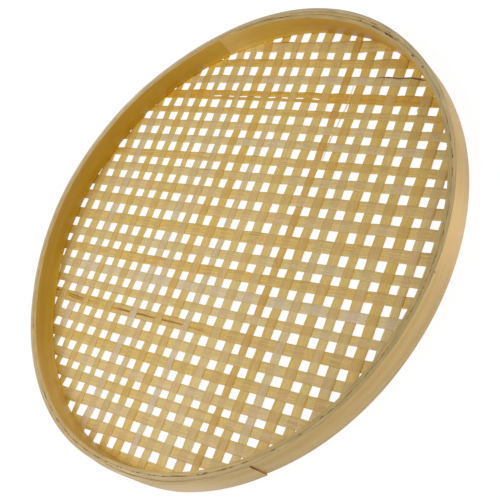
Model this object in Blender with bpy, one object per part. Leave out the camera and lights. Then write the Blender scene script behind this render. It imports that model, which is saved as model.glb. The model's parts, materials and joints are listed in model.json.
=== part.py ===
"""A zaru: a round, shallow bamboo tray with an open woven panel.

Flat split-bamboo strips cross over one, under one. Where a strip meets the rim steeply it
turns up and is pinched between an outer and an inner hoop of bent bamboo; where it meets the
rim at a slant it ends flat, trapped under the inner hoop. Each hoop is one lath whose thinned
ends overlap in a scarf.

Frame: +Z up, +X along the wefts, +Y along the warps, origin in the middle of the underside.
"""

import math

import bmesh
import bpy
from mathutils import Vector

# Rim: two hoops with the turned-up strip ends between them
rim_radius = 0.200
rim_height = 0.0215
outer_hoop_wall = 0.0027
inner_hoop_wall = 0.0026
hoop_sides = 84
tab_trim = 0.0010
seat_gap = 0.0003

# Scarfs: how far round the ends overlap, and how thin they are cut
outer_lap_end_angle = math.radians(-55.5)
outer_lap_sides = 9
inner_lap_end_angle = math.radians(116.0)
inner_lap_sides = 12
hidden_wedge_sides = 4
hidden_end_wall = 0.0005
outer_shown_end_wall = 0.0011
inner_shown_end_wall = 0.0005

# Where the rim is pressed out of round, most of all over the inner scarf: middle and half-width
# in degrees, and share of the largest bow. It fades out between two shares of the rim's radius.
rim_bow = 0.0023
rim_bow_shares = (
    (84, 34, 1.0), (128, 24, -0.7), (174, 18, 0.35), (206, 20, -0.5), (247, 26, 0.7), (355, 40, -0.35),
)
bow_start_share = 0.88
bow_full_share = 0.94

# Strips, spread so that this many pitches span the inside of the rim
pitches_across = 24.3
strip_width = 0.0085
strip_thickness = 0.0008
weave_rise = 0.00085
underside_gap = 0.0002
free_corner_share = 0.6
least_strip_end = 0.0020
same_place_share = 0.25
least_slope = 0.0035
settling_rounds = 5
middle_warp_x = 0.0010
middle_weft_y = 0.0037

# Hand-laid strips: the panel's middle lies a little off the hoops' middle, and the strips bow
warp_shift = 0.0051
warp_bow = 0.0036
weft_shift = -0.0021
weft_bow = -0.0021
upper_weft_bow = 0.0009
bow_turns_y = 0.020
bow_turned_y = 0.070

# From the middle strip outwards, in shares: pitch to the next strip, that strip's width, and how
# far its two ends slant off, one to each side
middle_warp_shares = (0.95, 0.0)
warp_right_shares = (
    (1.05, 1.15, -0.05), (1.10, 1.10, -0.10), (0.95, 0.85, -0.05), (1.00, 1.05, -0.05),
    (1.00, 0.95, -0.05), (1.10, 1.15, -0.20), (1.05, 1.00, -0.30), (1.05, 1.10, -0.35),
    (1.10, 1.10, -0.25), (1.00, 0.90, -0.15), (1.00, 1.00, -0.10),
)
warp_left_shares = (
    (0.95, 0.80, 0.05), (0.95, 1.05, 0.10), (1.00, 0.95, 0.10), (0.95, 0.85, 0.05),
    (0.90, 1.00, 0.10), (1.00, 0.70, 0.10), (0.90, 0.95, 0.10), (0.95, 0.85, 0.15),
    (0.95, 0.85, 0.10), (0.95, 1.00, -0.10), (1.05, 1.15, -0.05), (1.05, 1.05, 0.0),
)
middle_weft_shares = (1.2, 0.10)
weft_up_shares = (
    (1.15, 1.10, 0.05), (1.05, 1.10, 0.05), (1.05, 0.95, 0.05), (0.95, 0.90, 0.0),
    (1.00, 0.90, -0.05), (0.90, 0.90, -0.15), (0.90, 0.75, -0.20), (0.95, 1.10, -0.35),
    (1.00, 0.95, -0.30), (1.00, 0.95, -0.50), (0.95, 1.10, -0.60),
)
weft_down_shares = (
    (1.10, 0.95, 0.10), (0.95, 1.00, 0.10), (1.00, 1.00, 0.05), (1.00, 0.85, -0.05),
    (1.00, 1.10, -0.15), (1.05, 1.00, -0.15), (1.00, 1.05, -0.15), (1.05, 1.00, -0.15),
    (0.90, 0.95, -0.10), (0.95, 1.05, 0.05), (1.05, 1.00, 0.15), (1.05, 1.00, 0.10),
)

# Tones of split bamboo, and the strips that have one of their own, by steps from the middle
outer_hoop_tone = (0.52, 0.38, 0.19)
inner_hoop_tone = (0.45, 0.27, 0.07)
hoop_roughness = 0.55
strip_roughness = 0.50
plain_warp = (0.55, 0.42, 0.18)
plain_weft = (0.56, 0.43, 0.19)
golden = (0.55, 0.40, 0.13)
pale = (0.55, 0.44, 0.24)
greyish = (0.55, 0.46, 0.29)
brown = (0.53, 0.35, 0.09)
warp_tones = {
    -10: greyish, -5: greyish, -4: pale, -3: golden, -2: golden, -1: greyish,
    3: brown, 4: golden, 5: pale, 6: golden, 9: golden,
}
weft_tones = {
    -7: golden, -5: golden, -3: greyish, -2: golden, -1: pale, 0: golden,
    3: pale, 5: greyish, 6: pale, 8: brown, 9: greyish,
}
crease_angle = math.radians(30.0)

# What follows from the sizes above
seam = strip_thickness + 2 * seat_gap
outer_seat_radius = rim_radius - outer_hoop_wall
inner_seat_radius = outer_seat_radius - seam
tab_radius = (outer_seat_radius + inner_seat_radius) / 2
wall_radius = inner_seat_radius - inner_hoop_wall
loose_end_radius = inner_seat_radius
strip_pitch = 2 * wall_radius / pitches_across
half_strip = strip_thickness / 2
weave_level = underside_gap + weave_rise + half_strip
inner_hoop_foot = weave_level + weave_rise + half_strip + seat_gap
tab_top = rim_height - tab_trim


def bamboo(name, colour, roughness):
    """The bamboo of one piece."""
    material = bpy.data.materials.new(name)
    material.use_nodes = True
    shader = material.node_tree.nodes["Principled BSDF"]
    shader.inputs["Base Color"].default_value = (*colour, 1.0)
    shader.inputs["Roughness"].default_value = roughness
    shader.inputs["Metallic"].default_value = 0.0
    return material


def bow(angle):
    """How far the rim stands out of round at an angle."""
    total = 0.0
    for middle, half_width, share in rim_bow_shares:
        away = abs((math.degrees(angle) - middle + 180) % 360 - 180)
        if away < half_width:
            total += share * rim_bow * math.cos(math.pi / 2 * away / half_width) ** 2
    return total


def out_of_round(point):
    """Moves a point with the rim, if it is near the rim."""
    radius = math.hypot(point.x, point.y)
    start, full = bow_start_share * rim_radius, bow_full_share * rim_radius
    if radius <= start:
        return point
    share = min((radius - start) / (full - start), 1.0)
    share *= share * (3 - 2 * share)
    stretch = 1 + share * bow(math.atan2(point.y, point.x)) / radius
    return Vector((point.x * stretch, point.y * stretch, point.z))


def add_rings(name, rings, material):
    """Join a row of four-cornered rings into one closed solid."""
    mesh = bmesh.new()
    loops = [[mesh.verts.new(out_of_round(corner)) for corner in ring] for ring in rings]
    for near, far in zip(loops, loops[1:]):
        for here in range(4):
            after = (here + 1) % 4
            mesh.faces.new((near[here], near[after], far[after], far[here]))
    mesh.faces.new(loops[0])
    mesh.faces.new(loops[-1])
    bmesh.ops.recalc_face_normals(mesh, faces=mesh.faces)
    data = bpy.data.meshes.new(name)
    mesh.to_mesh(data)
    mesh.free()
    data.shade_smooth()
    data.set_sharp_from_angle(angle=crease_angle)
    data.materials.append(material)
    part = bpy.data.objects.new(name, data)
    bpy.context.collection.objects.link(part)
    return part


def hoop_offsets(step, lap_sides, wall, shown_end_wall):
    """How far the lath's two faces stand off the seam, counted in steps from its hidden end.

    The hidden end is a wedge. The shown end rides over it and thins evenly to its cut.
    """
    def hidden_thickness(at):
        return hidden_end_wall + (wall - hidden_end_wall) * min(at / hidden_wedge_sides, 1.0)

    over = step - hoop_sides
    if over < 0:
        return 0.0, hidden_thickness(step)
    near = hidden_thickness(over) + seat_gap
    return near, near + wall + (shown_end_wall - wall) * over / lap_sides


def add_hoop(name, seat_radius, side, wall, shown_end_wall, lap_end_angle, lap_sides, foot, material):
    """Bend a lath round its seat circle, outwards (side 1) or inwards (side -1)."""
    turn = 2 * math.pi / hoop_sides
    start = lap_end_angle - lap_sides * turn
    rings = []
    for step in range(hoop_sides + lap_sides + 1):
        angle = start + step * turn
        out = Vector((math.cos(angle), math.sin(angle), 0.0))
        near, far = hoop_offsets(step, lap_sides, wall, shown_end_wall)
        near_edge = out * (seat_radius + side * near)
        far_edge = out * (seat_radius + side * far)
        low = Vector((0.0, 0.0, foot))
        high = Vector((0.0, 0.0, rim_height))
        rings.append((near_edge + low, far_edge + low, far_edge + high, near_edge + high))
    return add_rings(name, rings, material)


def lay_out(middle, outward_shares, direction):
    """The strips on one side of the middle strip: step from it, place, width and slant."""
    strips = []
    place = middle
    for index, (pitch_share, width_share, slant_share) in enumerate(outward_shares, start=1):
        place += direction * pitch_share * strip_pitch
        strips.append((direction * index, place, width_share * strip_width, slant_share * strip_width))
    return strips


def family(middle, middle_shares, forward_shares, back_shares):
    """All strips of one direction in order."""
    width_share, slant_share = middle_shares
    forward = lay_out(middle, forward_shares, 1)
    back = lay_out(middle, back_shares, -1)
    return back[::-1] + [(0, middle, width_share * strip_width, slant_share * strip_width)] + forward


def middle_line(strip, along, warp):
    """Where a strip's middle line lies across its direction, at a distance along it."""
    _, place, _, slant = strip
    shift, bend = warp_shift, warp_bow
    if not warp:
        turned = min(max((place - bow_turns_y) / (bow_turned_y - bow_turns_y), 0.0), 1.0)
        shift, bend = weft_shift, weft_bow + (upper_weft_bow - weft_bow) * turned
    across_share, along_share = place / rim_radius, along / rim_radius
    return place + shift * (1 - across_share ** 2) + slant * along_share - bend * along_share ** 2


def edges_at(strip, along, warp):
    """Where a strip's two long edges lie, at a distance along it."""
    middle = middle_line(strip, along, warp)
    return middle - strip[2] / 2, middle + strip[2] / 2


def meeting(strip, other, warp):
    """How far along a strip the middle line of another one is met."""
    along = other[1]
    for _ in range(settling_rounds):
        along = middle_line(other, middle_line(strip, along, warp), not warp)
    return along


def end_edges(strip, radius, side, warp):
    """A strip's edges where its middle line meets a circle."""
    along = side * chord(radius, strip[1])
    for _ in range(settling_rounds):
        along = side * chord(radius, middle_line(strip, along, warp))
    return edges_at(strip, along, warp)


def chord(radius, across):
    """Half the length of the circle's chord at a distance from its middle."""
    return math.sqrt(max(radius * radius - across * across, 0.0))


def is_clamped(place):
    """Whether the strip meets the rim steeply enough to turn up between the hoops.

    The two directions are equally steep at 45 degrees, and a share of a pitch stays free there.
    """
    return abs(place) + free_corner_share * strip_pitch < tab_radius * math.sqrt(0.5)


def weave_height(step, other_step, warp):
    """A strip's height at a crossing: the warp is on top where the two steps add up even."""
    warp_on_top = (step + other_step) % 2 == 0
    return weave_level + (weave_rise if warp_on_top == warp else -weave_rise)


def crossings(strip, reaches, furthest, others, warp):
    """Stations (distance along the strip, height): the strip keeps level across each strip met.

    A warp only peaks at a crossing's middle, but near the rim it keeps level too.
    """
    stations = []
    for other in others:
        height = weave_height(strip[0], other[0], warp)
        flat = other[2] / 2 + seat_gap
        centre = meeting(strip, other, warp)
        side = 1 if centre > 0 else -1
        reach = reaches[side]
        if abs(centre) - flat > furthest[side]:
            continue
        if warp and abs(centre) + flat + strip_width < reach:
            stations.append((centre, height))
            continue
        near, far = abs(centre) - flat, abs(centre) + flat
        ends = [(side * min(near, reach), height)] if near < reach + least_slope else []
        if far < reach:
            ends.append((side * far, height))
        stations += sorted(ends)
    return stations


def strip_point(warp, along, across, z):
    """A point of the panel, from distances along and across a strip."""
    return Vector((across, along, z)) if warp else Vector((along, across, z))


def level_ring(warp, along, low_edge, high_edge, height):
    """A strip's flat section at one station."""
    low, high = height - half_strip, height + half_strip
    return (
        strip_point(warp, along, low_edge, low),
        strip_point(warp, along, high_edge, low),
        strip_point(warp, along, high_edge, high),
        strip_point(warp, along, low_edge, high),
    )


def turned_up_rings(warp, side, edges, height):
    """The mitred fold at the seam, then the tab that climbs the seam at the strip's own slant."""
    faces = ((tab_radius + half_strip, -half_strip), (tab_radius - half_strip, half_strip))
    corners = []
    for radius, lift in faces:
        for across in edges if lift < 0 else edges[::-1]:
            along = side * chord(radius, across)
            x, y = (across, along) if warp else (along, across)
            slant = math.copysign(across / along, x * y if warp else -x * y)
            corners.append((radius, math.atan2(y, x), slant / radius, height + lift))
    furthest_lean = max(abs(slant) for _, _, slant, _ in corners) * (tab_top - height)
    climbs = math.ceil(furthest_lean * hoop_sides / (2 * math.pi)) + 1
    rings = []
    for climb in range(climbs + 1):
        ring = []
        for radius, angle, slant, foot in corners:
            z = foot + (tab_top - foot) * climb / climbs
            turned = angle + slant * (z - foot)
            ring.append(Vector((radius * math.cos(turned), radius * math.sin(turned), z)))
        rings.append(tuple(ring))
    return rings


def add_strip(name, strip, others, warp, material):
    """Weave one strip through the others and finish its two ends."""
    clamped = is_clamped(strip[1])
    reaches, corners, furthest = {}, {}, {}
    for side in (-1, 1):
        edges = end_edges(strip, loose_end_radius, side, warp)
        outer_edge = max(abs(edge) for edge in edges)
        inner_edge = min(abs(edge) for edge in edges) if edges[0] * edges[1] > 0 else 0.0
        corners[side] = chord(loose_end_radius, outer_edge)
        if clamped:
            reaches[side] = chord(tab_radius - half_strip, outer_edge) - least_strip_end
            furthest[side] = chord(loose_end_radius, inner_edge) - least_strip_end
        else:
            reaches[side] = chord(loose_end_radius, inner_edge + least_strip_end)
            furthest[side] = reaches[side]
    stations = crossings(strip, reaches, furthest, others, warp)
    folds = {-1: [], 1: []}
    for side in (-1, 1):
        if clamped:
            height = end_height(strip, side, furthest[side], others, warp)
            folds[side] = turned_up_rings(warp, side, end_edges(strip, tab_radius, side, warp), height)
        else:
            stations = with_station(stations, side * corners[side])
            stations = with_station(stations, side * reaches[side])
    rings = []
    for along, height in stations:
        limit = chord(loose_end_radius, along)
        low_edge, high_edge = edges_at(strip, along, warp)
        rings.append(level_ring(warp, along, max(low_edge, -limit), min(high_edge, limit), height))
    return add_rings(name, folds[-1][::-1] + rings + folds[1], material)


def end_height(strip, side, furthest, others, warp):
    """Height at the fold: the strip keeps its side of the last strip that it meets."""
    met = [other for other in others
           if side * meeting(strip, other, warp) - other[2] / 2 - seat_gap < furthest]
    last = max(met, key=lambda other: side * other[1])
    return weave_height(strip[0], last[0], warp)


def with_station(stations, along):
    """Add a station at a given place, at the height that the strip has there."""
    if any(abs(along - at) < same_place_share * least_strip_end for at, _ in stations):
        return stations
    for index, ((at, height), (after, next_height)) in enumerate(zip(stations, stations[1:])):
        if at < along < after:
            share = (along - at) / (after - at)
            middle = (along, height + share * (next_height - height))
            return stations[:index + 1] + [middle] + stations[index + 1:]
    if along < stations[0][0]:
        return [(along, stations[0][1])] + stations
    return stations + [(along, stations[-1][1])]


def build():
    for item in list(bpy.data.objects):
        bpy.data.objects.remove(item, do_unlink=True)

    outer_bamboo = bamboo("outer_hoop", outer_hoop_tone, hoop_roughness)
    add_hoop("outer_hoop", outer_seat_radius, 1, outer_hoop_wall, outer_shown_end_wall,
             outer_lap_end_angle, outer_lap_sides, 0.0, outer_bamboo)
    inner_bamboo = bamboo("inner_hoop", inner_hoop_tone, hoop_roughness)
    add_hoop("inner_hoop", inner_seat_radius, -1, inner_hoop_wall, inner_shown_end_wall,
             inner_lap_end_angle, inner_lap_sides, inner_hoop_foot, inner_bamboo)

    warps = family(middle_warp_x, middle_warp_shares, warp_right_shares, warp_left_shares)
    wefts = family(middle_weft_y, middle_weft_shares, weft_up_shares, weft_down_shares)
    for number, strip in enumerate(warps, start=1):
        name = f"warp_{number:02d}"
        strip_bamboo = bamboo(name, warp_tones.get(strip[0], plain_warp), strip_roughness)
        add_strip(name, strip, wefts, True, strip_bamboo)
    for number, strip in enumerate(wefts, start=1):
        name = f"weft_{number:02d}"
        strip_bamboo = bamboo(name, weft_tones.get(strip[0], plain_weft), strip_roughness)
        add_strip(name, strip, warps, False, strip_bamboo)


build()
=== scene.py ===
"""Looks of a round, shallow bamboo tray: an open woven panel pinched between two bent hoops.

Everything is in metres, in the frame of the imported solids: +Z up, +X along the wefts, +Y along
the warps, origin in the middle of the underside. Each strip takes its path, width and heights
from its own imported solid, and gets hand-split edges, rounded waves and a folded, ragged tab.
"""

import json
import math

import bmesh
import bpy
import numpy as np
from mathutils import Matrix, Vector


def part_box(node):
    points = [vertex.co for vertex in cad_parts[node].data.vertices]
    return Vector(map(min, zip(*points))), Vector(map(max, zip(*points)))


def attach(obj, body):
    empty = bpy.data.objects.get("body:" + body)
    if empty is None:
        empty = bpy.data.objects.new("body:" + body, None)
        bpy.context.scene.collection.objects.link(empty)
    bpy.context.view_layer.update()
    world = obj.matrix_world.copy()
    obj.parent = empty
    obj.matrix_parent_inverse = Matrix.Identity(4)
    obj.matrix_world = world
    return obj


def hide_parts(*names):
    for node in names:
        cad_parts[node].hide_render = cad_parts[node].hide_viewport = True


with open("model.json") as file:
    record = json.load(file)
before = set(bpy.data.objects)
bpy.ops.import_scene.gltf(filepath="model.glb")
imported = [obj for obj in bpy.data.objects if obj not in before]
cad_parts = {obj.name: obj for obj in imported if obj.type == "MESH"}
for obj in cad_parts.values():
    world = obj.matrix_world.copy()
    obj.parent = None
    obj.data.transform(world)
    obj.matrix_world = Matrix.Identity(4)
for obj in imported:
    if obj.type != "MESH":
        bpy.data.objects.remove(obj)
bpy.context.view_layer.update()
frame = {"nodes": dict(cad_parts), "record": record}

# Rim
rim_radius = 0.200
rim_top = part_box("outer_hoop")[1].z
inner_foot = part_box("inner_hoop")[0].z
outer_wall = 0.0027
inner_wall = 0.0026
seam = 0.0014
outer_seat_radius = rim_radius - outer_wall
inner_seat_radius = outer_seat_radius - seam
seam_radius = outer_seat_radius - seam / 2
corner_round = 0.00035
lip_round = 0.00012
lip_depth = 0.0040
lip_gap = 0.00003
pocket_gap = 0.00026
rim_wander = 0.00010
rim_wave = 0.014
rim_wave_share = 0.7
rim_ripple = 0.0014
rim_ripple_share = 0.3
lath_step = math.radians(0.3)
lath_sway = 0.00012
lath_sway_wave = 0.05
cut_face = 0.00002
dash_wave = 0.0011
dash_cover = 0.35
dash_edge = 0.5
tab_edge_degrees = 0.25

# Scarfs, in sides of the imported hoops, which have 84
hoop_side = 2 * math.pi / 84
outer_lap_end = math.radians(-55.5)
outer_lap_length = 9 * hoop_side
inner_lap_end = math.radians(116.0)
inner_lap_length = 13 * hoop_side
hidden_wedge = 4 * hoop_side
hidden_end_wall = 0.0005
outer_shown_end_wall = 0.0011
inner_shown_end_wall = 0.0005
packed_gap = 0.0003
lap_gap = 0.0001

# Where the rim stands out of round: middle and half-width in degrees, and share of the largest bow
rim_bow = 0.0023
packed_bow_shares = (
    (84, 34, 1.0), (128, 24, -0.7), (174, 18, 0.35), (206, 20, -0.5), (247, 26, 0.7), (355, 40, -0.35),
)
drawn_bow_shares = packed_bow_shares + ((57, 24, 0.3), (70, 18, 0.2))
bow_start = 0.88 * rim_radius
bow_full = 0.94 * rim_radius
undo_rounds = 6

# How far the inner lath leans in at its foot, and how low that foot reaches. The shares, each a
# middle, a half-width and a height, say where it leans more or less and where the lap is thicker.
lean = 0.0014
lean_shares = (
    (106, 28, 1.2), (68, 18, -1.0), (142, 22, -1.1), (170, 14, -0.3), (202, 14, 0.8), (220, 18, 0.6),
)
foot_drop = 0.0009
lap_swell = 0.0009
lap_swell_shares = ((80, 32, 1.0),)

# How far the warps' upper ends drift left
end_drift = 0.0040
end_drift_starts = 0.145
end_drift_span = 0.045

# Strips
weave_level = 0.00145
packed_rise = 0.00085
wave_rise = 0.00028
strip_thickness = 0.0004
tab_end_thickness = 0.00036
edge_round = 0.00012
crown = 0.00002
crown_shares = (0.27, 0.5, 0.73)
bend_radius = 0.0010
tab_drop = 0.0011
tab_ragged = 0.0006
loose_radius = 0.1950
ring_pitch = 0.0024
ring_offsets = np.array([-0.0007, -0.00015, 0.00015, 0.0007])
least_pitch = 0.00012
grid_pitch = 0.0004
wave_softness = 0.0014
edge_softness = 0.0060
edge_wander = 0.00018
edge_wander_wave = 0.045
edge_fray = 0.00006
edge_fray_wave = 0.005
bend_turns = (0.25, 0.5, 0.75, 1.0)
tab_rings = 6
bite_rings = 9
crease = math.radians(50.0)

# Loose fibres
sliver_pitch = 0.001
sliver_softness = 0.0015
sliver_corners = 6
sliver_taper = 5
sliver_tip = 0.02
sliver_wave = 0.006
sliver_wander = 0.25
fibre_over = 1.9
fibre_under = -1.2
fibre_lift = 0.00035

# Camera, as the photo was taken
camera_aim = Vector((0.0237, -0.0086, 0.0014))
camera_distance = 0.7600
camera_azimuth = math.radians(-20.80)
camera_elevation = math.radians(45.53)
camera_roll = math.radians(53.11)
camera_lens_mm = 70.55
camera_sensor_mm = 36.0

# Light and floor
white = (1.0, 1.0, 1.0, 1.0)
world_strength = 0.63
lamp_size = 0.6
lamps = (("key", Vector((-0.60, -0.35, 1.08)), 7.6), ("fill", Vector((0.95, 0.15, 0.60)), 3.0))
floor_size = 6.0
floor_tone = (0.85, 0.85, 0.85, 1.0)
floor_shadow_share = 0.12
floor_glow = 0.04


def linear(value):
    """One screen value from 0 to 255 as the light that it stands for."""
    share = value / 255
    return share / 12.92 if share <= 0.04045 else ((share + 0.055) / 1.055) ** 2.4


def screen(red, green, blue):
    """A colour given in screen values, as shaders take it."""
    return linear(red), linear(green), linear(blue), 1.0


# Tones of the strips where one layer shows, by the record's material slots
strip_tones = {
    "plain_warp_strips": screen(198, 176, 118),
    "plain_weft_strips": screen(198, 174, 119),
    "golden_strips": screen(197, 169, 97),
    "pale_strips": screen(198, 178, 130),
    "greyish_strips": screen(197, 180, 144),
    "brown_strips": screen(193, 159, 82),
}
richer_strips = (
    "warp_04", "warp_05", "warp_06", "warp_07", "warp_20", "warp_21",
    "weft_04", "weft_07", "weft_17", "weft_20", "weft_23",
)
richer_tint = (1.0, 0.975, 0.82)
amber_strips = ("weft_21", "weft_21_lower")
amber_strip_tint = (1.02, 0.96, 0.45)
single_tints = {
    "warp_09": (0.97, 0.95, 0.93), "warp_21": (0.95, 0.94, 1.0), "weft_02": (1.0, 1.0, 0.90),
    "weft_08": (0.97, 0.95, 0.97), "weft_13": (1.01, 1.03, 1.17), "weft_19": (1.02, 1.02, 1.06),
    "weft_22": (0.99, 0.98, 1.08), "weft_23": (1.0, 0.97, 0.86), "weft_24": (1.02, 1.06, 1.35),
}
# How strongly the fibres show on single strips, and on every weft against a warp
fibrous_strips = {
    "warp_10": 1.4, "warp_16": 1.4, "warp_17": 1.5, "weft_06": 1.4, "weft_08": 1.4, "weft_10": 0.6,
    "weft_11": 1.8, "weft_13": 1.7, "weft_17": 1.5, "weft_20": 1.5, "weft_21": 1.6, "weft_23": 1.6,
}
weft_fibre_share = 1.4

# Painted shade where two strips lie together, standing in for the light that shines through one layer
# but not two; painted golden light towards the back, as of light reflected at a grazing view, and
# beside the wall, where it also lifts the wall's shade; and painted shade, greyer, towards the right
crossing_shades = {"warp": (0.88, 0.82, 0.86, 1.0), "weft": (0.90, 0.865, 0.93, 1.0)}
crossing_softness = 0.0004
back_painted_glow = (0.95, 0.89, 0.60, 1.0)
back_starts = -0.8
back_span = 1.6
back_power = 1.7
warp_back_share = 1.15
wall_painted_glow = (1.38, 1.27, 0.60, 1.0)
wall_starts = 0.181
wall_span = 0.012
wall_power = 1.6
right_painted_shade = (0.90, 0.90, 0.93, 1.0)
right_starts = -0.1
right_span = 0.7

# The painted amber line beside a strip on top, a coloured shadow as of light shining through the
# bamboo: its reach, and its strength on the low and the high side
amber_tint = (1.30, 1.08, 0.22, 1.0)
amber_reach = 0.0009
amber_overlap = 0.0003
amber_beside_warp = (0.15, 1.0)
amber_beside_weft = (0.10, 0.25)

# Strips' split sides, painted a bright amber as a glow of light through the thin bamboo, and their stains
edge_glow_tone = screen(244, 212, 70)
burnt = screen(118, 76, 10)
stain_tint = (0.96, 0.84, 0.36, 1.0)

# Hoops: tones of pores and of cut ends, a cut's dark tone being partly its end grain and partly
# painted shadow in the lap's gap; how far up a surface faces where it becomes the top; and the heights
# in millimetres over which a face turns to its painted light at the foot and to its darker tint high
# up, and over which a cut darkens
pore_tone = screen(98, 76, 44)
low_cut_tone = screen(182, 112, 42)
high_cut_tone = screen(92, 56, 26)
top_slopes = (0.55, 0.85)
top_roughness = 0.72
foot_heights = (7.5, 1.5)
high_heights = (7.0, 18.0)
cut_heights = (5.0, 17.0)

material_slots = {part["node"]: part["material_slot"] for part in frame["record"]["subparts"]}


def tinted(tone, tint):
    """A colour times a tint of three shares."""
    return (*[value * share for value, share in zip(tone, tint)], 1.0)


def smoothed(values, softness, pitch):
    """A row of values blurred along the row, with its ends held."""
    reach = max(int(3 * softness / pitch), 1)
    offsets = np.arange(-reach, reach + 1) * pitch
    weights = np.exp(-0.5 * (offsets / softness) ** 2)
    padded = np.pad(values, reach, mode="edge")
    return np.convolve(padded, weights / weights.sum(), mode="valid")


def wander(seed, places, wavelength, reach):
    """A value that wanders smoothly along a line, the same in each run."""
    count = 4096
    steps = np.asarray(places, float) / wavelength
    knots = np.random.default_rng(seed).uniform(-1.0, 1.0, count)
    whole = np.floor(steps).astype(int)
    part = eased(steps - whole)
    return reach * (knots[whole % count] * (1 - part) + knots[(whole + 1) % count] * part)


def eased(share):
    """A share from 0 to 1 with soft ends."""
    share = np.clip(share, 0.0, 1.0)
    return share * share * (3 - 2 * share)


def swelling(angle, shares):
    """The sum of soft bumps round the rim at an angle, each a middle, a half-width and a height."""
    degrees = np.degrees(angle)
    total = 0.0
    for middle, half_width, share in shares:
        away = np.abs((degrees - middle + 180) % 360 - 180)
        total = total + share * np.cos(math.pi / 2 * np.minimum(away / half_width, 1.0)) ** 2
    return total


def bow(angle, shares=drawn_bow_shares):
    """How far the rim stands out of round at an angle."""
    return rim_bow * swelling(angle, shares)


def bow_share(radius):
    """How much of the rim's bow a point at this radius follows."""
    return eased((radius - bow_start) / (bow_full - bow_start))


def out_of_round(points):
    """Moves points with the rim, if they are near it."""
    radius = np.hypot(points[..., 0], points[..., 1])
    moved = radius + bow_share(radius) * bow(np.arctan2(points[..., 1], points[..., 0]))
    stretch = moved / np.maximum(radius, grid_pitch)
    return points * np.stack([stretch, stretch, np.ones_like(stretch)], axis=-1)


def back_in_round(points):
    """Undoes the rim's bow, so that a strip can be read as it lies in a round rim."""
    moved = np.hypot(points[..., 0], points[..., 1])
    bowed = bow(np.arctan2(points[..., 1], points[..., 0]), packed_bow_shares)
    radius = moved
    for _ in range(undo_rounds):
        radius = moved - bow_share(radius) * bowed
    stretch = radius / np.maximum(moved, grid_pitch)
    return points * np.stack([stretch, stretch, np.ones_like(stretch)], axis=-1)


def solid_from_rings(name, rings, marks, material):
    """Closes a row of rings into one solid; marks are named values on its points."""
    count, corners = rings.shape[:2]
    faces = []
    for ring in range(count - 1):
        for corner in range(corners):
            after = (corner + 1) % corners
            here, there = ring * corners, (ring + 1) * corners
            faces.append((here + corner, here + after, there + after, there + corner))
    faces.append(tuple(range(corners)))
    faces.append(tuple((count - 1) * corners + corner for corner in range(corners)))
    data = bpy.data.meshes.new(name)
    data.from_pydata(rings.reshape(-1, 3).tolist(), [], faces)
    mesh = bmesh.new()
    mesh.from_mesh(data)
    bmesh.ops.recalc_face_normals(mesh, faces=mesh.faces)
    mesh.to_mesh(data)
    mesh.free()
    for mark, values in marks.items():
        kind = "FLOAT_VECTOR" if values.ndim == 3 else "FLOAT"
        layer = data.attributes.new(mark, kind, "POINT")
        field = "vector" if values.ndim == 3 else "value"
        layer.data.foreach_set(field, values.astype(np.float32).ravel())
    data.shade_smooth()
    data.set_sharp_from_angle(angle=crease)
    data.materials.append(material)
    piece = bpy.data.objects.new(name, data)
    bpy.context.scene.collection.objects.link(piece)
    return piece


def stand_for(piece, node):
    """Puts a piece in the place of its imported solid."""
    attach(piece, "root")
    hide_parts(node)


class Recipe:
    """A material's nodes, added one at a time."""

    def __init__(self, name):
        self.material = bpy.data.materials.new(name)
        self.material.use_nodes = True
        self.tree = self.material.node_tree
        self.shader = self.tree.nodes["Principled BSDF"]

    def add(self, kind, inputs, **settings):
        made = self.tree.nodes.new(kind)
        for name, value in settings.items():
            setattr(made, name, value)
        for name, value in inputs.items():
            self.feed(made.inputs[name], value)
        return made

    def feed(self, socket, value):
        if isinstance(value, bpy.types.NodeSocket):
            self.tree.links.new(value, socket)
        else:
            socket.default_value = value

    def compute(self, operation, first, second=0.0, third=0.0):
        made = self.add("ShaderNodeMath", {0: first, 1: second, 2: third}, operation=operation)
        return made.outputs[0]

    def plus(self, first, second):
        return self.compute("ADD", first, second)

    def minus(self, first, second):
        return self.compute("SUBTRACT", first, second)

    def times(self, first, second):
        return self.compute("MULTIPLY", first, second)

    def squares(self, first, second):
        return self.plus(self.times(first, first), self.times(second, second))

    def ramp(self, value, low, high, to_low=0.0, to_high=1.0):
        made = self.add("ShaderNodeMapRange", {
            "Value": value, "From Min": low, "From Max": high, "To Min": to_low, "To Max": to_high,
        }, interpolation_type="SMOOTHSTEP")
        return made.outputs["Result"]

    def mix(self, share, first, second, blend_type="MIX"):
        made = self.add("ShaderNodeMix", {"Factor": share, "A": first, "B": second},
                        data_type="RGBA", blend_type=blend_type)
        return made.outputs["Result"]

    def tint(self, colour, tint):
        return self.mix(1.0, colour, tint, "MULTIPLY")

    def mark(self, name, output="Fac"):
        return self.add("ShaderNodeAttribute", {}, attribute_name=name).outputs[output]

    def noise(self, x, y, z, detail=2.0, roughness=0.5):
        where = self.add("ShaderNodeCombineXYZ", {"X": x, "Y": y, "Z": z}).outputs[0]
        made = self.add("ShaderNodeTexNoise", {
            "Vector": where, "Scale": 1.0, "Detail": detail, "Roughness": roughness,
        })
        return made.outputs["Fac"]

    def place(self):
        parts = self.add("ShaderNodeSeparateXYZ", {"Vector": self.mark("place", "Vector")})
        return parts.outputs[0], parts.outputs[1], parts.outputs[2]

    def finish(self, colour, roughness, height, strength, distance):
        bump = self.add("ShaderNodeBump", {"Height": height, "Strength": strength, "Distance": distance})
        self.feed(self.shader.inputs["Base Color"], colour)
        self.feed(self.shader.inputs["Roughness"], roughness)
        self.feed(self.shader.inputs["Normal"], bump.outputs[0])
        return self.material


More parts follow.
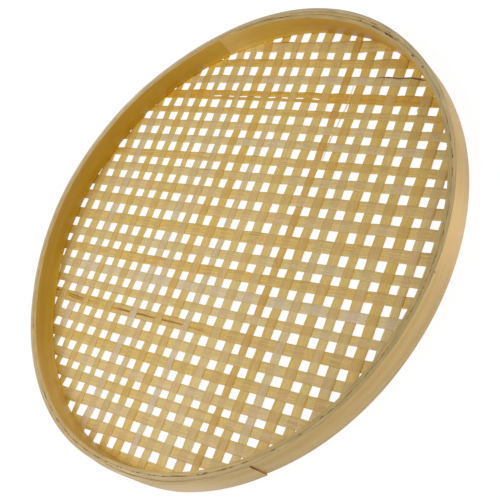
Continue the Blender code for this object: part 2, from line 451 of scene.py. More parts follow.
def strip_bamboo(name, tone, shade, seed, fibre_share=1.0, details=()):
    """Split bamboo: fine lengthwise fibres, with painted shade over a crossing, a painted amber shadow
    line beside an edge on top, painted golden light towards the back and beside the wall, and painted
    shade towards the right.
    """
    recipe = Recipe(name)
    along, across, flank = recipe.place()
    painted_light = recipe.add("ShaderNodeSeparateXYZ", {"Vector": recipe.mark("painted_light", "Vector")})
    back, wall, amber = painted_light.outputs
    cover, right = recipe.mark("cover"), recipe.mark("right")

    def grain(along_rate, across_rate, shift, detail):
        return recipe.noise(recipe.times(along, along_rate), recipe.times(across, across_rate),
                            seed + shift, detail)

    fine = grain(55.0, 1000.0, 0.0, 3.0)
    streak = grain(10.0, 420.0, 0.5, 2.0)
    cloud = grain(70.0, 110.0, 0.7, 2.0)
    speck = grain(420.0, 1000.0, 0.8, 2.0)
    honey = grain(26.0, 60.0, 0.3, 2.0)
    light = recipe.mix(recipe.ramp(streak, 0.30, 0.70), tinted(tone, (1.03, 1.03, 1.03)),
                       tinted(tone, (0.97, 0.95, 0.88)))
    fibres = recipe.times(recipe.ramp(fine, 0.44, 0.70, 0.0, 0.40), fibre_share)
    light = recipe.mix(fibres, light, tinted(tone, (0.84, 0.74, 0.60)))
    pale = recipe.ramp(fine, 0.46, 0.32, 0.0, min(0.45 * fibre_share, 1.0))
    light = recipe.mix(pale, light, tinted(tone, (1.07, 1.09, 1.12)))
    for pattern, low_tint, high_tint in (
        (cloud, (1.02, 0.98, 1.0, 1.0), (0.98, 1.01, 0.96, 1.0)),
        (speck, (1.06, 1.06, 1.07, 1.0), (0.94, 0.94, 0.92, 1.0)),
        (honey, (1.0, 1.01, 1.09, 1.0), (0.995, 0.965, 0.80, 1.0)),
    ):
        light = recipe.tint(light, recipe.mix(recipe.ramp(pattern, 0.36, 0.64), low_tint, high_tint))
    # Painted light and shade: duller where two strips lie together, greyer towards the right, golden
    # towards the back and beside the wall, and an amber shadow line beside a strip on top
    for share, tint in ((cover, shade), (right, right_painted_shade), (back, back_painted_glow), (wall, wall_painted_glow),
                        (amber, amber_tint)):
        light = recipe.tint(light, recipe.mix(share, white, tint))
    rough = recipe.times(recipe.minus(grain(160.0, 1100.0, 0.9, 3.0), 0.5), 1.6)
    for start, middle, slope, half_length, half_width, strength in details:
        past = recipe.minus(along, start)
        line = recipe.plus(recipe.times(past, slope), middle)
        long = recipe.times(past, 1 / half_length)
        wide = recipe.times(recipe.minus(across, line), 1 / half_width)
        reach = recipe.plus(recipe.squares(long, wide), rough)
        halo = recipe.ramp(reach, 3.0, 0.9, 0.0, strength)
        light = recipe.mix(halo, light, recipe.tint(light, stain_tint))
        light = recipe.mix(recipe.ramp(reach, 1.15, 0.35, 0.0, 0.75 * strength), light, burnt)
    # Painted amber glow on the split sides, as of light shining through the thin bamboo
    light = recipe.mix(recipe.ramp(flank, 0.3, 1.0, 0.0, 0.85), light, edge_glow_tone)
    return recipe.finish(light, recipe.ramp(streak, 0.3, 0.7, 0.52, 0.62), fine, 0.25, 0.00008)


class Strip:
    """Path of one strip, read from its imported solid: edges and mid-height along its length."""

    def __init__(self, node):
        self.node = node
        self.number = int(node[-2:])
        self.axis = 1 if node.startswith("warp") else 0
        points = back_in_round(np.array([corner.co for corner in frame["nodes"][node].data.vertices]))
        self.clamped = points[:, 2].max() > inner_foot
        flat = points[np.hypot(points[:, 0], points[:, 1]) < inner_seat_radius - bend_radius]
        along, across = flat[:, self.axis], flat[:, 1 - self.axis]
        middle = np.polyval(np.polyfit(along, across, 2), along)
        self.grid = np.arange(along.min(), along.max(), grid_pitch)
        self.low, low_height = self.trace(flat[across < middle], np.min)
        self.high, high_height = self.trace(flat[across > middle], np.max)
        wave = ((low_height + high_height) / 2 - weave_level) / packed_rise
        wave = np.sin(math.pi / 2 * np.clip(wave, -1.0, 1.0))
        self.height = weave_level + wave_rise * smoothed(wave, wave_softness, grid_pitch)

    def trace(self, points, outermost):
        """One long edge and the height of the strip beside it, on the even grid."""
        points = points[np.argsort(points[:, self.axis])]
        breaks = np.flatnonzero(np.diff(points[:, self.axis]) > grid_pitch) + 1
        groups = [group for group in np.split(points, breaks) if np.ptp(group[:, 2]) > grid_pitch]
        places = [group[:, self.axis].mean() for group in groups]
        edge = np.interp(self.grid, places, [outermost(group[:, 1 - self.axis]) for group in groups])
        middles = [(group[:, 2].min() + group[:, 2].max()) / 2 for group in groups]
        height = np.interp(self.grid, places, middles)
        edge = smoothed(edge, edge_softness, grid_pitch)
        if self.axis == 1:
            past = np.clip((self.grid - end_drift_starts) / end_drift_span, 0.0, 1.0)
            edge = edge - end_drift * past ** 2
        return edge, height

    def edges(self, along):
        return np.interp(along, self.grid, self.low), np.interp(along, self.grid, self.high)

    def middle(self, along=0.0):
        low, high = self.edges(along)
        return (low + high) / 2

    def level(self, along):
        return np.interp(along, self.grid, self.height)

    def is_over(self, other):
        """Warps lie on top where the two numbers add up even."""
        return ((self.number + other.number) % 2 == 0) == (self.axis == 1)


def chord(radius, across):
    """Half the length of a circle's chord at a distance from its middle."""
    return np.sqrt(np.maximum(radius * radius - across * across, 0.0))


def fold_up(plan_x, plan_y, level, lift):
    """Bends whatever lies past the seam up into it, round a small bend."""
    radius = np.hypot(plan_x, plan_y)
    bend_start = seam_radius - bend_radius
    past = np.maximum(radius - bend_start, 0.0)
    turn = np.minimum(past / bend_radius, math.pi / 2)
    climb = np.maximum(past - bend_radius * math.pi / 2, 0.0)
    thinning = 1.0 - (1.0 - tab_end_thickness / strip_thickness) * np.clip(climb / rim_top, 0.0, 1.0)
    lift = lift * thinning
    new_radius = np.minimum(radius, bend_start) + (bend_radius - lift) * np.sin(turn)
    new_radius = np.where(past > 0.0, new_radius, radius)
    height = level + bend_radius - (bend_radius - lift) * np.cos(turn) + climb
    scale = new_radius / radius
    return np.stack([plan_x * scale, plan_y * scale, height], axis=-1)


def section(width):
    """A strip's section as shares of its width, lifts off its middle and nearness to its side."""
    rounding = edge_round / width
    half = strip_thickness / 2
    upper = [(0.0, half - edge_round, 1.0), (rounding, half, 0.0)]
    upper += [(share, half + crown, 0.0) for share in crown_shares]
    upper += [(1.0 - rounding, half, 0.0), (1.0, half - edge_round, 1.0)]
    lower = [(share, -lift, side) for share, lift, side in reversed(upper)]
    return np.array(upper + lower).T


def ring_places(strip, others, first, last, extra):
    """Where a strip's straight rings lie: evenly, and close together at each crossing's edges."""
    places = [np.arange(first + ring_pitch, last - ring_pitch / 2, ring_pitch), np.array(extra)]
    for other in others:
        for edge in other.edges(strip.middle(other.middle())):
            places.append(edge + ring_offsets)
    places = np.sort(np.concatenate(places))
    kept = [first]
    for place in places:
        if place - kept[-1] > least_pitch and last - place > least_pitch:
            kept.append(place)
    return np.array(kept + [last])


def end_rings(strip, shares, side):
    """A strip's rings from its last straight one outwards: slanting to the rim, then up the seam."""
    low, high = strip.edges(strip.grid[-1 if side > 0 else 0])
    ends = low + shares * (high - low)
    flat_end = chord(seam_radius - bend_radius if strip.clamped else loose_radius, ends)
    inner_end = flat_end.min() - ring_pitch
    slanting = max(int((flat_end.max() - inner_end) / ring_pitch), 2)
    rings = [side * (inner_end + (flat_end - inner_end) * step / slanting)
             for step in range(1, slanting + 1)]
    if strip.clamped:
        rng = np.random.default_rng(strip.number + 50 * strip.axis + 100 * (side + 1))
        tops = rim_top - tab_drop - rng.uniform(0.0, tab_ragged, len(ends) // 2)
        tops = np.concatenate([tops, tops[::-1]])
        straight = tops - strip.level(side * flat_end) - bend_radius
        bend_length = bend_radius * math.pi / 2
        past = [np.full_like(straight, turn * bend_length) for turn in bend_turns]
        past += [bend_length + climb * straight for climb in np.linspace(0.0, 1.0, tab_rings + 1)[1:]]
        rings += [side * chord(seam_radius - bend_radius + extra, ends) for extra in past]
    return side * inner_end, rings


def amber_lines(other, along, other_low, other_high):
    """How strongly each point of a strip shows the painted amber shadow line beside another that lies on
    top.
    """
    low_side, high_side = amber_beside_warp if other.axis else amber_beside_weft
    amber = np.zeros(along.shape)
    for distance, strength in ((other_low - along, low_side), (along - other_high, high_side)):
        fading = np.clip(1 - distance / amber_reach, 0.0, 1.0)
        amber = np.maximum(amber, strength * np.where(distance > -amber_overlap, fading, 0.0))
    return amber


def strip_tone(strip, name):
    """The tone of a strip: its slot's, with the tints of its group and its own."""
    tone = strip_tones[material_slots[strip.node]]
    if strip.node in richer_strips:
        tone = tinted(tone, richer_tint)
    if name in amber_strips:
        tone = tinted(tone, amber_strip_tint)
    return tinted(tone, single_tints.get(strip.node, (1.0, 1.0, 1.0)))


def weave_strip(strip, others, share_from=0.0, share_to=1.0, name=None, details=(), slit=None, bites=(),
                stands=True):
    """Builds one strip, or the part of its width between two shares, with its folded ends.

    A slit trims the part's edges by a width that changes along it. A bite is a nick in an edge.
    """
    name = name or strip.node
    seed = strip.number + (100 if strip.axis else 200)
    low, high = strip.edges(strip.grid)
    shares, lifts, flanks = section((high - low).mean() * (share_to - share_from))
    part = share_from + shares * (share_to - share_from)
    first, tail = end_rings(strip, part, -1)
    last, head = end_rings(strip, part, 1)
    extra = [place + step for place, length, _, _ in bites
             for step in np.linspace(-length, length, bite_rings)]
    straight = ring_places(strip, others, first, last, extra)[:, None] + np.zeros(len(part))
    along = np.concatenate([np.array(tail[::-1]), straight, np.array(head)])
    low, high = strip.edges(along)
    middle, line = (low + high) / 2, np.clip(along[:, len(part) // 4], strip.grid[0], strip.grid[-1])
    low = low + (wander(seed, line, edge_wander_wave, edge_wander)
                 + wander(seed + 31, line, edge_fray_wave, edge_fray))[:, None]
    high = high + (wander(seed + 57, line, edge_wander_wave, edge_wander)
                   + wander(seed + 83, line, edge_fray_wave, edge_fray))[:, None]
    own_low, own_high = low + share_from * (high - low), low + share_to * (high - low)
    if slit:
        half_gap = slit(along) / 2
        own_low = own_low + (half_gap if share_from > 0 else 0)
        own_high = own_high - (half_gap if share_to < 1 else 0)
    for place, length, low_depth, high_depth in bites:
        bite = np.clip(1 - np.abs(along - place) / length, 0.0, 1.0)
        own_low, own_high = own_low + low_depth * bite, own_high - high_depth * bite
    across = own_low + shares * (own_high - own_low)
    x, y = (across, along) if strip.axis else (along, across)
    points = out_of_round(fold_up(x, y, strip.level(along), np.broadcast_to(lifts, along.shape)))
    # Where the painted light and shade fall: painted shade over each crossing, the painted amber line
    # beside a strip on top, painted golden light towards the back and beside the wall, and painted shade
    # towards the right
    cover, amber = np.zeros(along.shape), np.zeros(along.shape)
    for other in others:
        other_low, other_high = other.edges(across)
        gap = np.abs(along - (other_low + other_high) / 2) - (other_high - other_low) / 2
        cover = np.maximum(cover, np.clip(0.5 - gap / crossing_softness, 0.0, 1.0))
        if not strip.is_over(other):
            amber = np.maximum(amber, amber_lines(other, along, other_low, other_high))
    back = np.clip((y / rim_radius - back_starts) / back_span, 0.0, 1.0) ** back_power
    back = back * (warp_back_share if strip.axis else 1.0)
    wall = np.clip((np.hypot(x, y) - wall_starts) / wall_span, 0.0, 1.0) ** wall_power
    marks = {
        "place": np.stack([along, across - middle, np.broadcast_to(flanks, along.shape)], axis=-1),
        "painted_light": np.stack([back, wall, amber], axis=-1),
        "cover": cover,
        "right": eased((x / rim_radius - right_starts) / right_span),
    }
    fibre_share = fibrous_strips.get(strip.node, 1.0) * (1.0 if strip.axis else weft_fibre_share)
    shade = crossing_shades["warp" if strip.axis else "weft"]
    bamboo = strip_bamboo(name, strip_tone(strip, name), shade, seed, fibre_share, details)
    piece = solid_from_rings(name, points, marks, bamboo)
    if stands:
        stand_for(piece, strip.node)
    else:
        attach(piece, "root")


def lay_sliver(name, path, half_width, half_height, tone, seed):
    """A loose fibre along a path of points, thinning to both ends."""
    path = np.array(path)
    length = np.concatenate([[0.0], np.cumsum(np.linalg.norm(np.diff(path, axis=0), axis=1))])
    steps = np.linspace(0.0, length[-1], int(length[-1] / sliver_pitch))
    line = np.stack([np.interp(steps, length, path[:, k]) for k in range(3)], axis=1)
    for k in range(3):
        line[:, k] = smoothed(line[:, k], sliver_softness, steps[1] - steps[0])
    ahead = np.gradient(line, axis=0)
    ahead /= np.linalg.norm(ahead, axis=1)[:, None]
    aside = np.stack([-ahead[:, 1], ahead[:, 0], np.zeros(len(ahead))], axis=1)
    share = np.linspace(0.0, 1.0, len(line))
    swell = np.sqrt(np.clip(np.minimum(share, 1 - share) * sliver_taper, sliver_tip, 1.0))
    swell = swell * (1 + wander(seed, steps, sliver_wave, sliver_wander))
    corners = np.linspace(0.0, 2 * math.pi, sliver_corners + 1)[:-1]
    rings = (line[:, None] + swell[:, None, None] * (
        half_width * np.cos(corners)[None, :, None] * aside[:, None]
        + half_height * np.sin(corners)[None, :, None] * np.array([0.0, 0.0, 1.0])))
    place = np.stack([np.broadcast_to(steps[:, None], rings.shape[:2]),
                      np.broadcast_to(half_width * np.cos(corners), rings.shape[:2]),
                      np.zeros(rings.shape[:2])], axis=-1)
    recipe = Recipe(name)
    along, across, _ = recipe.place()
    fine = recipe.noise(recipe.times(along, 300.0), recipe.times(across, 2000.0), 3.0, 3.0)
    light = recipe.mix(recipe.ramp(fine, 0.35, 0.65), tinted(tone, (1.15, 1.15, 1.15)),
                       tinted(tone, (0.75, 0.75, 0.75)))
    material = recipe.finish(light, recipe.ramp(fine, 0.3, 0.7, 0.5, 0.65), fine, 0.3, 0.0001)
    piece = solid_from_rings(name, out_of_round(rings), {"place": place}, material)
    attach(piece, "root")


def tab_spans(strips):
    """The turned-up tabs' spans round the seam, at the rim's top."""
    spans = []
    for strip in strips:
        if not strip.clamped:
            continue
        past = seam_radius + rim_top
        for side in (-1, 1):
            corners = []
            for across in strip.edges(strip.grid[-1 if side > 0 else 0]):
                along = side * chord(past, across)
                x, y = (across, along) if strip.axis else (along, across)
                corners.append(math.atan2(y, x))
            spans.append((min(corners), max(corners)) if np.ptp(corners) < math.pi else
                         (max(corners), min(corners) + 2 * math.pi))
    return spans


def seam_opening(angles, spans):
    """How far each hoop's lip stands off the seam's middle: closed but for dashes at the tabs."""
    degrees = np.degrees(angles) % 360
    opened = np.zeros(len(angles))
    for start, stop in spans:
        start, stop = math.degrees(start), math.degrees(stop)
        away = np.abs((degrees - (start + stop) / 2 + 180) % 360 - 180)
        inside = ((stop - start) / 2 - away) / tab_edge_degrees
        opened = np.maximum(opened, np.clip(inside + 0.5, 0.0, 1.0))
    along = degrees * math.pi / 180 * seam_radius
    dashes = eased((wander(5, along, dash_wave, 1.0) + dash_cover) / dash_edge)
    return lip_gap + pocket_gap * opened * dashes


def bend_lath(name, side, seat_radius, wall, shown_end_wall, lap_end, lap_length, foot, leaning,
              spans, material, seed):
    """Bends one lath round its seat circle, outwards (side 1) or inwards (side -1), ends lapped."""
    start = lap_end - lap_length
    turned = np.linspace(0.0, 2 * math.pi + lap_length, round((2 * math.pi + lap_length) / lath_step) + 1)
    turned = np.append(turned, turned[-1] + cut_face / seat_radius)
    angles = start + turned
    over = turned - 2 * math.pi
    climb = eased(1.0 + over / hoop_side)
    hidden = hidden_end_wall + (wall - hidden_end_wall) * np.clip(over / hidden_wedge, 0.0, 1.0)
    near = climb * (hidden + lap_gap)
    own = wall + (shown_end_wall - wall) * np.clip(over / lap_length, 0.0, 1.0) ** 2
    first = hidden_end_wall + (wall - hidden_end_wall) * np.minimum(turned / hidden_wedge, 1.0)
    far = np.minimum(first, own) + climb * (hidden + packed_gap)
    lip = np.where(over < 0, seam_opening(angles, spans) - seam / 2, near)
    line = turned * seat_radius
    top = rim_top - rim_wander - crown + wander(seed + 1, line, rim_wave, rim_wander * rim_wave_share)
    top = top + wander(seed + 2, line, rim_ripple, rim_wander * rim_ripple_share)
    far = far - lath_sway + wander(seed + 3, line, lath_sway_wave, lath_sway)
    if side < 0:
        far = far + lap_swell * swelling(angles, lap_swell_shares) * climb
    leaning = leaning * np.maximum(1 + swelling(angles, lean_shares), 0.0)
    low_far = far + leaning * eased(turned / lap_length)
    half_far = (far + low_far) / 2
    rows = [
        (near, foot + corner_round), (near, top - lip_depth), (lip, top - lip_depth / 3),
        (lip, top - lip_round), (lip + lip_round, top), ((lip + far) / 2, top + crown),
        (far - corner_round, top), (far, top - corner_round), (half_far, (top + foot) / 2),
        (low_far, foot + corner_round), (low_far - corner_round, foot), (near + corner_round, foot),
    ]
    radii = np.stack([seat_radius + side * offset for offset, _ in rows], axis=1)
    heights = np.stack([np.broadcast_to(height, angles.shape) for _, height in rows], axis=1)
    turn = angles[:, None]
    bowed = radii + bow(turn)
    points = np.stack([bowed * np.cos(turn), bowed * np.sin(turn), heights], axis=-1)
    place = np.stack([np.broadcast_to(line[:, None], radii.shape), heights, radii - seat_radius], axis=-1)
    end = np.zeros(radii.shape)
    end[-1] = 1.0
    turn_degrees = np.broadcast_to(np.degrees(turn), radii.shape)
    marks = {"place": place, "turn": np.stack([turn_degrees, radii * 1000, end], axis=-1)}
    stand_for(solid_from_rings(name, points, marks, material), name)


def lath_bamboo(name, face_tone, face_streak, top_tone, seed, foot_painted_light, high_tint, face_roughness,
                face_patches, top_patches, top_marks, face_marks=()):
    """A lath's planed face with its long grain, and its rough, porous, greyer cut edge on top.

    A patch is a middle and half-width in degrees round the rim, a tone and a strength; patches hold
    the lath's own uneven tone and also painted light and shade round the rim, such as painted
    highlights on the face and a painted sheen on the top. A mark on top adds a middle radius and
    half-width in millimetres, one on the face a height likewise. The lapped part of a face has angles
    past 360 degrees.
    """
    recipe = Recipe(name)
    along, height, out = recipe.place()
    turn = recipe.add("ShaderNodeSeparateXYZ", {"Vector": recipe.mark("turn", "Vector")})
    angle, radius, end = turn.outputs
    height_mm = recipe.times(height, 1000.0)

    def away(value, middle, half):
        return recipe.times(recipe.compute("ABSOLUTE", recipe.minus(value, middle)), 1 / half)

    def face_away(middle, half):
        return away(angle, middle, half)

    def turned_away(middle, half):
        return away(recipe.compute("WRAP", recipe.minus(angle, middle), 180.0, -180.0), 0.0, half)

    def patched(colour, patches, distance):
        for middle, half, tone, strength in patches:
            share = recipe.ramp(distance(middle, half), 1.0, 0.0, 0.0, strength)
            colour = recipe.mix(share, colour, tone)
        return colour

    def marked(colour, across, marks):
        ragged = recipe.noise(recipe.times(along, 900.0), recipe.times(across, 2.4), seed + 13.0, 3.0)
        for middle, half, centre, half_across, tone, strength in marks:
            long, wide = turned_away(middle, half), away(across, centre, half_across)
            reach = recipe.plus(recipe.squares(long, wide), ragged)
            colour = recipe.mix(recipe.ramp(reach, 1.5, 0.9, 0.0, strength), colour, tone)
        return colour

    fine = recipe.noise(recipe.times(along, 60.0), recipe.times(height, 1300.0),
                        recipe.times(out, 1300.0), 3.0)
    broad = recipe.noise(recipe.times(along, 9.0), recipe.times(height, 160.0), seed, 3.0)
    cloud = recipe.noise(recipe.times(along, 30.0), recipe.times(height, 60.0), seed + 3.0, 3.0)
    face = recipe.mix(recipe.ramp(broad, 0.3, 0.75), face_tone, face_streak)
    # Patches on the face: its own uneven tone, and painted light and shade round the rim, such as painted
    # highlights
    face = patched(face, face_patches, face_away)
    darker = recipe.tint(face, (0.86, 0.80, 0.72, 1.0))
    face = recipe.mix(recipe.ramp(fine, 0.42, 0.74, 0.0, 0.45), face, darker)
    redder = recipe.tint(face, (0.95, 0.90, 0.90, 1.0))
    face = recipe.mix(recipe.ramp(cloud, 0.40, 0.70, 0.0, 0.6), face, redder)
    # Painted light at each face's foot, as bounced up from below; a darker tint high up
    face = recipe.tint(face, recipe.mix(recipe.ramp(height_mm, *foot_heights), white, foot_painted_light))
    face = recipe.tint(face, recipe.mix(recipe.ramp(height_mm, *high_heights), white, high_tint))
    face = marked(face, height_mm, face_marks)
    pores = recipe.noise(recipe.times(along, 420.0), recipe.times(out, 3000.0), seed + 9.0, 2.0)
    rough = recipe.noise(recipe.times(along, 60.0), recipe.times(out, 1400.0), seed + 5.0, 4.0)
    # Patches on the top: painted shade on the right and a painted sheen on the left, with its own uneven
    # tone
    top = patched(top_tone, top_patches, turned_away)
    top = recipe.mix(recipe.ramp(rough, 0.30, 0.72), recipe.tint(top, (1.13, 1.12, 1.13, 1.0)),
                     recipe.tint(top, (0.72, 0.74, 0.72, 1.0)))
    top = recipe.mix(recipe.ramp(pores, 0.64, 0.72, 0.0, 0.75), top, pore_tone)
    top = marked(top, radius, top_marks)
    normal = recipe.add("ShaderNodeNewGeometry", {}).outputs["Normal"]
    up = recipe.add("ShaderNodeSeparateXYZ", {"Vector": normal}).outputs["Z"]
    on_top = recipe.ramp(up, *top_slopes)
    # The cut end at the lap: its end grain, with painted shadow in the lap's gap, darker higher up
    cut = recipe.mix(recipe.ramp(height_mm, *cut_heights), low_cut_tone, high_cut_tone)
    colour = recipe.mix(recipe.ramp(end, 0.5, 1.0), recipe.mix(on_top, face, top), cut)
    roughness = recipe.ramp(up, *top_slopes, face_roughness, top_roughness)
    return recipe.finish(colour, roughness, recipe.mix(on_top, fine, rough), 0.4, 0.0002)


def paper_floor():
    """A plain pale floor: it looks white from above, keeps a faint shadow and bounces light."""
    data = bpy.data.meshes.new("floor")
    corners = [(x * floor_size, y * floor_size, 0) for x, y in ((-1, -1), (1, -1), (1, 1), (-1, 1))]
    data.from_pydata(corners, [], [(0, 1, 2, 3)])
    floor = bpy.data.objects.new("floor", data)
    bpy.context.scene.collection.objects.link(floor)
    recipe = Recipe("floor")
    path = recipe.add("ShaderNodeLightPath", {})
    seen = recipe.compute("MAXIMUM", path.outputs["Is Camera Ray"], path.outputs["Is Glossy Ray"])
    seen = recipe.compute("MAXIMUM", seen, path.outputs["Is Transmission Ray"])
    lit = recipe.add("ShaderNodeBsdfDiffuse", {"Color": floor_tone})
    glow = recipe.add("ShaderNodeEmission", {"Color": white, "Strength": 1.0})
    faint = recipe.add("ShaderNodeEmission", {"Color": white, "Strength": floor_glow})
    shown = recipe.add("ShaderNodeMixShader", {
        0: floor_shadow_share, 1: glow.outputs[0], 2: lit.outputs[0],
    })
    brighter = recipe.add("ShaderNodeAddShader", {0: shown.outputs[0], 1: faint.outputs[0]})
    both = recipe.add("ShaderNodeMixShader", {0: seen, 1: lit.outputs[0], 2: brighter.outputs[0]})
    recipe.feed(recipe.tree.nodes["Material Output"].inputs["Surface"], both.outputs[0])
    recipe.tree.nodes.remove(recipe.shader)
    data.materials.append(recipe.material)


def studio():
    """Soft even light from all round, a wide lamp high on the left and a fill on the right."""
    world = bpy.data.worlds.new("studio")
    bpy.context.scene.world = world
    world.use_nodes = True
    tree = world.node_tree
    path = tree.nodes.new("ShaderNodeLightPath")
    around = tree.nodes["Background"]
    around.inputs["Color"].default_value = white
    around.inputs["Strength"].default_value = world_strength
    backdrop = tree.nodes.new("ShaderNodeBackground")
    backdrop.inputs["Color"].default_value = white
    mixed = tree.nodes.new("ShaderNodeMixShader")
    tree.links.new(path.outputs["Is Camera Ray"], mixed.inputs[0])
    tree.links.new(around.outputs[0], mixed.inputs[1])
    tree.links.new(backdrop.outputs[0], mixed.inputs[2])
    tree.links.new(mixed.outputs[0], tree.nodes["World Output"].inputs["Surface"])
    for name, place, watts in lamps:
        light = bpy.data.lights.new(name, "AREA")
        light.size = lamp_size
        light.energy = watts
        lamp = bpy.data.objects.new(name, light)
        lamp.location = place
        lamp.rotation_euler = (-place).to_track_quat("-Z", "Y").to_euler()
        bpy.context.scene.collection.objects.link(lamp)


def camera():
    """The photo's camera, rolled so that the tray leans in the picture."""
    data = bpy.data.cameras.new("camera")
    data.lens = camera_lens_mm
    data.sensor_width = camera_sensor_mm
    level = math.cos(camera_elevation)
    back = Vector((level * math.cos(camera_azimuth), level * math.sin(camera_azimuth),
                   math.sin(camera_elevation)))
    eye = bpy.data.objects.new("camera", data)
    upright = back.to_track_quat("Z", "Y").to_matrix().to_4x4()
    eye.matrix_world = (Matrix.Translation(camera_aim + camera_distance * back) @ upright
                        @ Matrix.Rotation(-camera_roll, 4, "Z"))
    bpy.context.scene.collection.objects.link(eye)
    bpy.context.scene.camera = eye


bpy.context.scene.view_settings.view_transform = "Standard"
camera()
studio()
paper_floor()

warps = [Strip(f"warp_{number:02d}") for number in range(1, 25)]
wefts = [Strip(f"weft_{number:02d}") for number in range(1, 25)]

# Stains on single strips: along, across, slope, half-length, half-width (metres) and strength
stains = {
    "weft_08": (
        (-0.1430, 0.0009, -0.070, 0.0220, 0.00070, 1.0), (-0.1460, -0.0007, -0.070, 0.0170, 0.00065, 1.0),
        (-0.1770, 0.0020, 0.0, 0.0050, 0.00080, 0.9), (-0.0740, -0.0001, 0.0, 0.0250, 0.00070, 0.9),
        (-0.0640, -0.0006, 0.012, 0.0330, 0.00065, 1.0), (-0.0280, -0.0001, 0.0, 0.0190, 0.00080, 0.95),
        (0.0000, -0.0009, -0.045, 0.0160, 0.00050, 0.6),
    ),
    "weft_13": ((0.0215, 0.0024, 0.0, 0.0100, 0.00045, 0.5),),
    "weft_15": ((-0.0880, -0.0028, 0.0, 0.0130, 0.00030, 0.6),),
    "weft_16": ((-0.0600, 0.0030, 0.010, 0.0060, 0.00035, 0.8),),
    "weft_21": (
        (0.0950, -0.0009, 0.006, 0.0560, 0.00050, 0.75), (-0.1200, -0.0007, 0.0, 0.0260, 0.00040, 0.5),
    ),
    "weft_22": ((-0.0410, 0.0019, 0.0, 0.0130, 0.00028, 0.7),),
    "weft_24": ((-0.0270, 0.0043, 0.010, 0.0150, 0.00040, 1.0),),
}
# Nicks in single strips: along, half-length, depth into the low side and into the high side
torn = {"warp_21": ((0.1196, 0.0016, -0.0009, 0.0), (0.1168, 0.0012, 0.0006, 0.0))}

# The split in the amber weft: at which share of its width, from where to where, and how wide
split_share = 0.38
split_starts = -0.092
split_stops = 0.040
split_easing = 0.012
split_closed = 0.00004
split_open = 0.00095
split_wave = 0.007
split_wander = 0.00025


def split_gap(along):
    """How wide the split stands open along the strip."""
    open_part = eased((along - split_starts) / split_easing) * eased((split_stops - along) / split_easing)
    return split_closed + (split_open + wander(9, along, split_wave, split_wander)) * open_part


for warp in warps:
    weave_strip(warp, wefts, bites=torn.get(warp.node, ()))
for weft in wefts:
    if weft.node == "weft_21":
        weave_strip(weft, warps, share_from=split_share, slit=split_gap, details=stains[weft.node])
        weave_strip(weft, warps, share_to=split_share, name="weft_21_lower", slit=split_gap, stands=False)
    else:
        weave_strip(weft, warps, details=stains.get(weft.node, ()))


# Loose fibres: two beside a warp, over and under the wefts, and a dark one on top of a weft
split_fibre = (
    (0.0593, 0.0690), (0.0590, 0.0792), (0.0591, 0.0917), (0.0608, 0.1061), (0.0617, 0.1133),
    (0.0625, 0.1206), (0.0617, 0.1333), (0.0618, 0.1388), (0.0611, 0.1470),
)
split_fibre_tone = screen(206, 170, 92)
split_fibres_apart = 0.0008
wefts_below_fibre = (18, 20, 22)
dark_fibre = (
    (0.0800, 0.1466), (0.0823, 0.1470), (0.0885, 0.1477), (0.0951, 0.1474), (0.1029, 0.1459),
    (0.1070, 0.1467), (0.1115, 0.1468), (0.1181, 0.1455), (0.1246, 0.1445), (0.1285, 0.1447),
)
dark_fibre_tone = screen(92, 38, 32)


def ride_height(x, y):
    """The height of a fibre along its path beside a warp: over or under each weft that it meets."""
    wefts_met = [weft.middle(x) for weft in wefts]
    rises = [fibre_over if weft.number in wefts_below_fibre else fibre_under for weft in wefts]
    return np.interp(y, wefts_met, [weave_level + rise * wave_rise for rise in rises])


path = [(x, y, ride_height(x, y)) for x, y in split_fibre]
lay_sliver("warp_16_fibre", path, 0.00032, 0.00016, split_fibre_tone, 20)
path = [(x + split_fibres_apart, y, ride_height(x, y)) for x, y in split_fibre]
lay_sliver("warp_16_second_fibre", path, 0.00022, 0.00014, split_fibre_tone, 27)
path = [(x, y, weave_level + wave_rise + fibre_lift) for x, y in dark_fibre]
lay_sliver("weft_22_dark_fibre", path, 0.00048, 0.00018, dark_fibre_tone, 25)
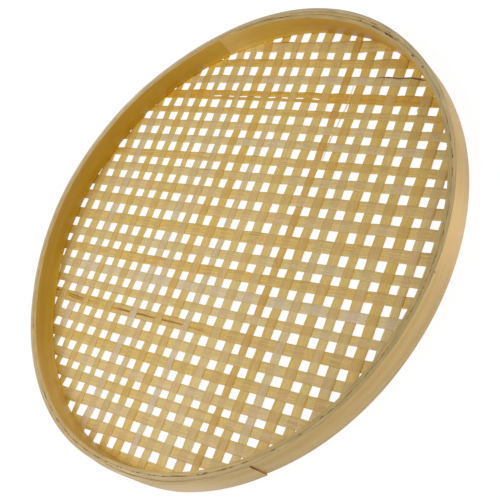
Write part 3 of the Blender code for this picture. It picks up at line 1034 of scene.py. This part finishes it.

# Dark specks and lines on the rim's top, most along the seam between the hoops and along the laps'
# layer lines: painted shade in those narrow gaps. A mark has an angle and a half-angle in degrees, a
# radius and a half-width in millimetres, a tone and a strength.
brown_line = screen(120, 84, 44)
dark_speck = screen(64, 40, 24)
dark_line = screen(92, 64, 34)
rim_marks = (
    (67.4, 0.6, 194.3, 0.75, dark_speck, 1.0), (66.2, 1.8, 194.9, 0.32, dark_speck, 1.0),
    (66.2, 1.8, 193.9, 0.32, dark_speck, 0.95), (62.5, 0.9, 194.5, 0.80, dark_speck, 1.0),
    (61.0, 1.3, 194.7, 0.50, dark_speck, 1.0), (59.2, 1.3, 195.2, 0.34, dark_line, 0.9),
    (72.0, 0.45, 194.9, 0.55, dark_speck, 0.95), (51.8, 0.60, 195.3, 0.70, dark_speck, 1.0),
    (47.3, 0.45, 196.0, 0.60, dark_speck, 1.0), (37.9, 1.4, 196.6, 0.28, dark_speck, 0.8),
    (31.0, 1.0, 196.6, 0.30, dark_speck, 0.8), (22.0, 0.7, 197.0, 0.34, dark_speck, 0.9),
    (8.3, 0.9, 196.7, 0.28, dark_speck, 0.8), (4.9, 0.6, 197.0, 0.34, dark_speck, 0.9),
    (-0.2, 0.5, 196.3, 0.34, dark_speck, 0.9), (-1.3, 0.5, 196.8, 0.34, dark_speck, 0.9),
    (-5.1, 0.7, 196.7, 0.34, dark_speck, 0.9), (-9.1, 0.4, 196.7, 0.34, dark_speck, 0.8),
    (-13.1, 0.6, 196.6, 0.36, dark_speck, 0.9), (-24.6, 0.3, 196.6, 0.34, brown_line, 0.9),
    (-29.0, 0.4, 196.6, 0.34, brown_line, 0.9), (-38.0, 0.6, 196.3, 0.46, dark_speck, 0.9),
    (-43.5, 0.5, 196.9, 0.42, dark_speck, 0.9), (-49.8, 0.7, 196.9, 0.48, dark_speck, 0.95),
    (-59.7, 0.6, 196.7, 0.48, dark_speck, 0.95), (-66.0, 0.7, 196.3, 0.50, dark_speck, 1.0),
    (-73.6, 1.9, 196.3, 0.40, dark_speck, 0.95), (-79.3, 0.5, 196.5, 0.42, dark_speck, 0.9),
    (-84.0, 0.6, 196.5, 0.38, dark_speck, 0.9), (-94.0, 0.5, 196.6, 0.42, dark_speck, 0.9),
    (-96.8, 0.8, 196.6, 0.45, dark_speck, 0.95), (-101.3, 0.7, 196.6, 0.50, dark_speck, 1.0),
    (-105.0, 0.5, 196.6, 0.42, dark_speck, 0.9), (-114.3, 0.8, 196.8, 0.42, dark_speck, 0.95),
    (-122.8, 1.0, 196.8, 0.42, dark_speck, 0.95), (-84.0, 8.0, 199.2, 0.18, brown_line, 0.8),
    (-76.0, 1.6, 199.9, 0.25, brown_line, 0.8), (-3.1, 0.25, 199.8, 0.30, brown_line, 0.9),
    (84.5, 3.4, 193.5, 0.30, dark_line, 0.9), (88.5, 3.2, 193.4, 0.40, dark_line, 1.0),
    (92.3, 3.0, 193.4, 0.42, dark_line, 1.0), (95.6, 2.6, 193.8, 0.42, dark_line, 1.0),
    (98.7, 2.6, 194.3, 0.42, dark_line, 1.0), (101.9, 2.8, 194.7, 0.42, dark_line, 1.0),
    (105.4, 3.0, 194.7, 0.40, dark_line, 1.0), (108.8, 2.8, 194.3, 0.34, dark_line, 0.9),
    (112.0, 5.0, 196.7, 0.22, brown_line, 0.9),
)
# The outer face's patches hold painted highlights near 8 and 288 degrees; both hoops' top patches paint
# shade on the right and a sheen on the left
outer_bamboo = lath_bamboo(
    "outer_hoop", screen(200, 170, 109), screen(186, 154, 90), screen(182, 158, 115), 3.0,
    foot_painted_light=(1.16, 1.18, 1.28, 1.0), high_tint=white, face_roughness=0.48,
    face_patches=(
        (8, 18, screen(223, 188, 127), 0.9), (31, 12, screen(207, 171, 106), 0.8),
        (53, 16, screen(187, 153, 88), 0.9), (288, 14, screen(217, 189, 134), 0.8),
        (252, 18, screen(200, 175, 127), 0.9),
    ),
    top_patches=(
        (-18, 75, screen(160, 138, 89), 1.0), (55, 45, screen(166, 150, 114), 0.9),
        (90, 24, screen(171, 152, 116), 0.8), (150, 40, screen(194, 178, 149), 0.7),
        (-88, 14, screen(196, 176, 136), 0.8),
    ),
    top_marks=rim_marks,
    face_marks=((-3.1, 0.2, 20.6, 1.2, brown_line, 0.8),),
)
inner_bamboo = lath_bamboo(
    "inner_hoop", screen(196, 154, 37), screen(183, 139, 27), screen(180, 151, 94), 7.0,
    foot_painted_light=(1.28, 1.33, 1.10, 1.0), high_tint=(0.90, 0.87, 0.82, 1.0), face_roughness=0.50,
    face_patches=(
        (445, 34, screen(188, 144, 48), 1.0), (474, 13, screen(208, 172, 90), 1.0),
        (417, 26, screen(200, 164, 92), 0.8), (240, 34, screen(212, 172, 84), 1.0),
        (118, 14, screen(194, 154, 49), 0.7), (459, 15, screen(196, 159, 64), 0.7),
        (160, 22, screen(190, 144, 14), 0.8),
    ),
    top_patches=(
        (-18, 75, screen(162, 138, 87), 1.0), (55, 34, screen(166, 144, 98), 0.9),
        (90, 26, screen(167, 146, 97), 0.9), (20, 30, screen(155, 134, 84), 0.7),
        (-75, 28, screen(187, 161, 108), 0.7), (122, 12, screen(176, 149, 97), 0.7),
        (154, 22, screen(187, 160, 110), 0.8),
    ),
    top_marks=rim_marks,
)
spans = tab_spans(warps + wefts)
bend_lath("outer_hoop", 1, outer_seat_radius, outer_wall, outer_shown_end_wall, outer_lap_end,
          outer_lap_length, 0.0, 0.0, spans, outer_bamboo, 11)
bend_lath("inner_hoop", -1, inner_seat_radius, inner_wall, inner_shown_end_wall, inner_lap_end,
          inner_lap_length, inner_foot - foot_drop, lean, spans, inner_bamboo, 23)
